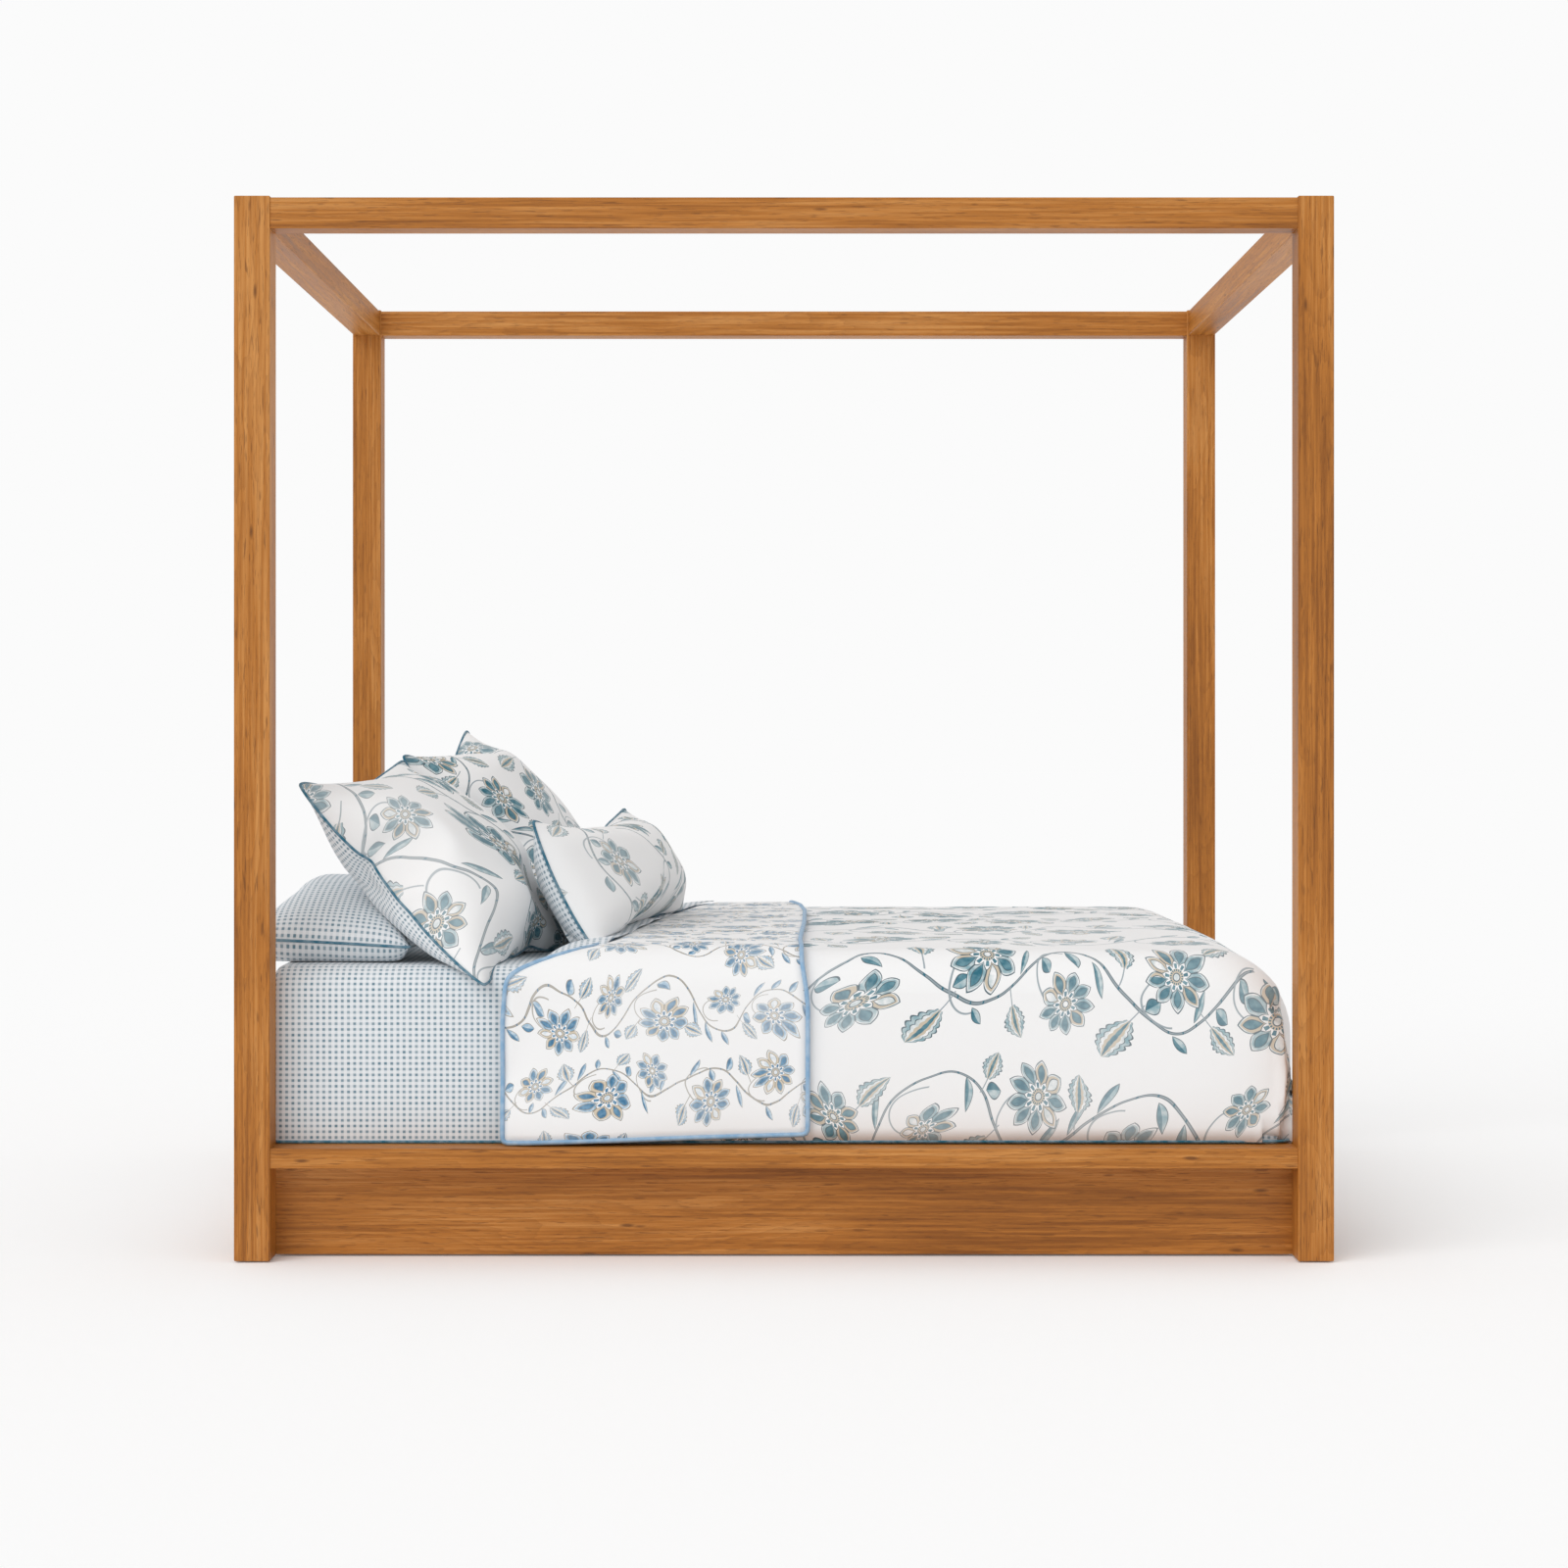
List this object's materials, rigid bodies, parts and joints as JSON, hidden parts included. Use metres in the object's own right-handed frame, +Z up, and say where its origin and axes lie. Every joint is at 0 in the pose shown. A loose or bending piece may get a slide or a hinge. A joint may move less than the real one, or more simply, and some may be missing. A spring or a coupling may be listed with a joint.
{
  "type": "four poster canopy bed",
  "caption": "Wooden four poster bed with an open rail canopy, a recessed plinth under a ledge, a mattress, printed duvet, folded coverlet and leaning pillows.",
  "frame": {"origin": "on the floor, under the middle of the box round the four posts", "axes": "+X from the head to the foot, +Y away from the left side as seen from the foot, +Z up"},
  "size_m": [2.2, 1.67, 2.134],
  "materials": {
    "oak": "satin",
    "softwood": "matte",
    "dowel_beech": "matte",
    "steel": "satin",
    "brass": "satin",
    "glide_nylon": "matte",
    "mattress_ticking": "matte",
    "check_cotton": "matte",
    "floral_large": "matte",
    "floral_small": "matte",
    "piping": "matte"
  },
  "bodies": {
    "frame": {"post_head_left": "oak", "post_head_right": "oak", "post_foot_left": "oak", "post_foot_right": "oak", "canopy_rail_head": "oak", "canopy_rail_foot": "oak", "canopy_rail_left": "oak", "canopy_rail_right": "oak", "side_ledge_left": "oak", "side_ledge_right": "oak", "end_ledge_head": "oak", "end_ledge_foot": "oak", "side_panel_left": "oak", "side_panel_right": "oak", "end_panel_head": "oak", "end_panel_foot": "oak", "slat_01": "softwood", "slat_02": "softwood", "slat_03": "softwood", "slat_04": "softwood", "slat_05": "softwood", "slat_06": "softwood", "slat_07": "softwood", "slat_08": "softwood", "slat_09": "softwood", "slat_10": "softwood", "slat_11": "softwood", "slat_12": "softwood", "slat_13": "softwood", "centre_beam": "softwood", "centre_leg_head": "softwood", "centre_leg_middle": "softwood", "centre_leg_foot": "softwood", "corner_block_head_left": "softwood", "corner_block_head_right": "softwood", "corner_block_foot_left": "softwood", "corner_block_foot_right": "softwood", "beam_hanger_head": "steel", "beam_hanger_foot": "steel", "rail_bolts": "steel", "barrel_nuts": "steel", "panel_bolts": "steel", "block_screws": "steel", "slat_screws": "steel", "hanger_screws": "steel", "canopy_dowels": "dowel_beech", "base_dowels": "dowel_beech", "bolt_covers": "oak", "threaded_inserts": "brass", "floor_glides": "glide_nylon"},
    "mattress": {"mattress": "mattress_ticking", "fitted_sheet": "check_cotton", "top_sheet": "check_cotton", "duvet": "floral_large", "coverlet": "floral_small"},
    "sleeper_left": {"sleeping_pillow_left": "check_cotton"},
    "sleeper_right": {"sleeping_pillow_right": "check_cotton"},
    "sham_left": {"euro_sham_left": "floral_large"},
    "sham_right": {"euro_sham_right": "floral_large"},
    "lumbar": {"lumbar_pillow": "floral_large"}
  },
  "joints": [
    {"name": "mattress_lift", "type": "slide", "parent": "frame", "child": "mattress", "axis": [0, 0, 1], "range_m": [0, 0.25]},
    {"name": "sleeper_left_pull", "type": "slide", "parent": "mattress", "child": "sleeper_left", "axis": [-1, 0, 0], "range_m": [0, 0.25]},
    {"name": "sham_left_lift", "type": "slide", "parent": "mattress", "child": "sham_left", "axis": [0, 0, 1], "range_m": [0, 0.25]},
    {"name": "sleeper_right_pull", "type": "slide", "parent": "mattress", "child": "sleeper_right", "axis": [-1, 0, 0], "range_m": [0, 0.25]},
    {"name": "sham_right_lift", "type": "slide", "parent": "mattress", "child": "sham_right", "axis": [0, 0, 1], "range_m": [0, 0.25]},
    {"name": "lumbar_lift", "type": "slide", "parent": "mattress", "child": "lumbar", "axis": [0, 0, 1], "range_m": [0, 0.25]}
  ]
}
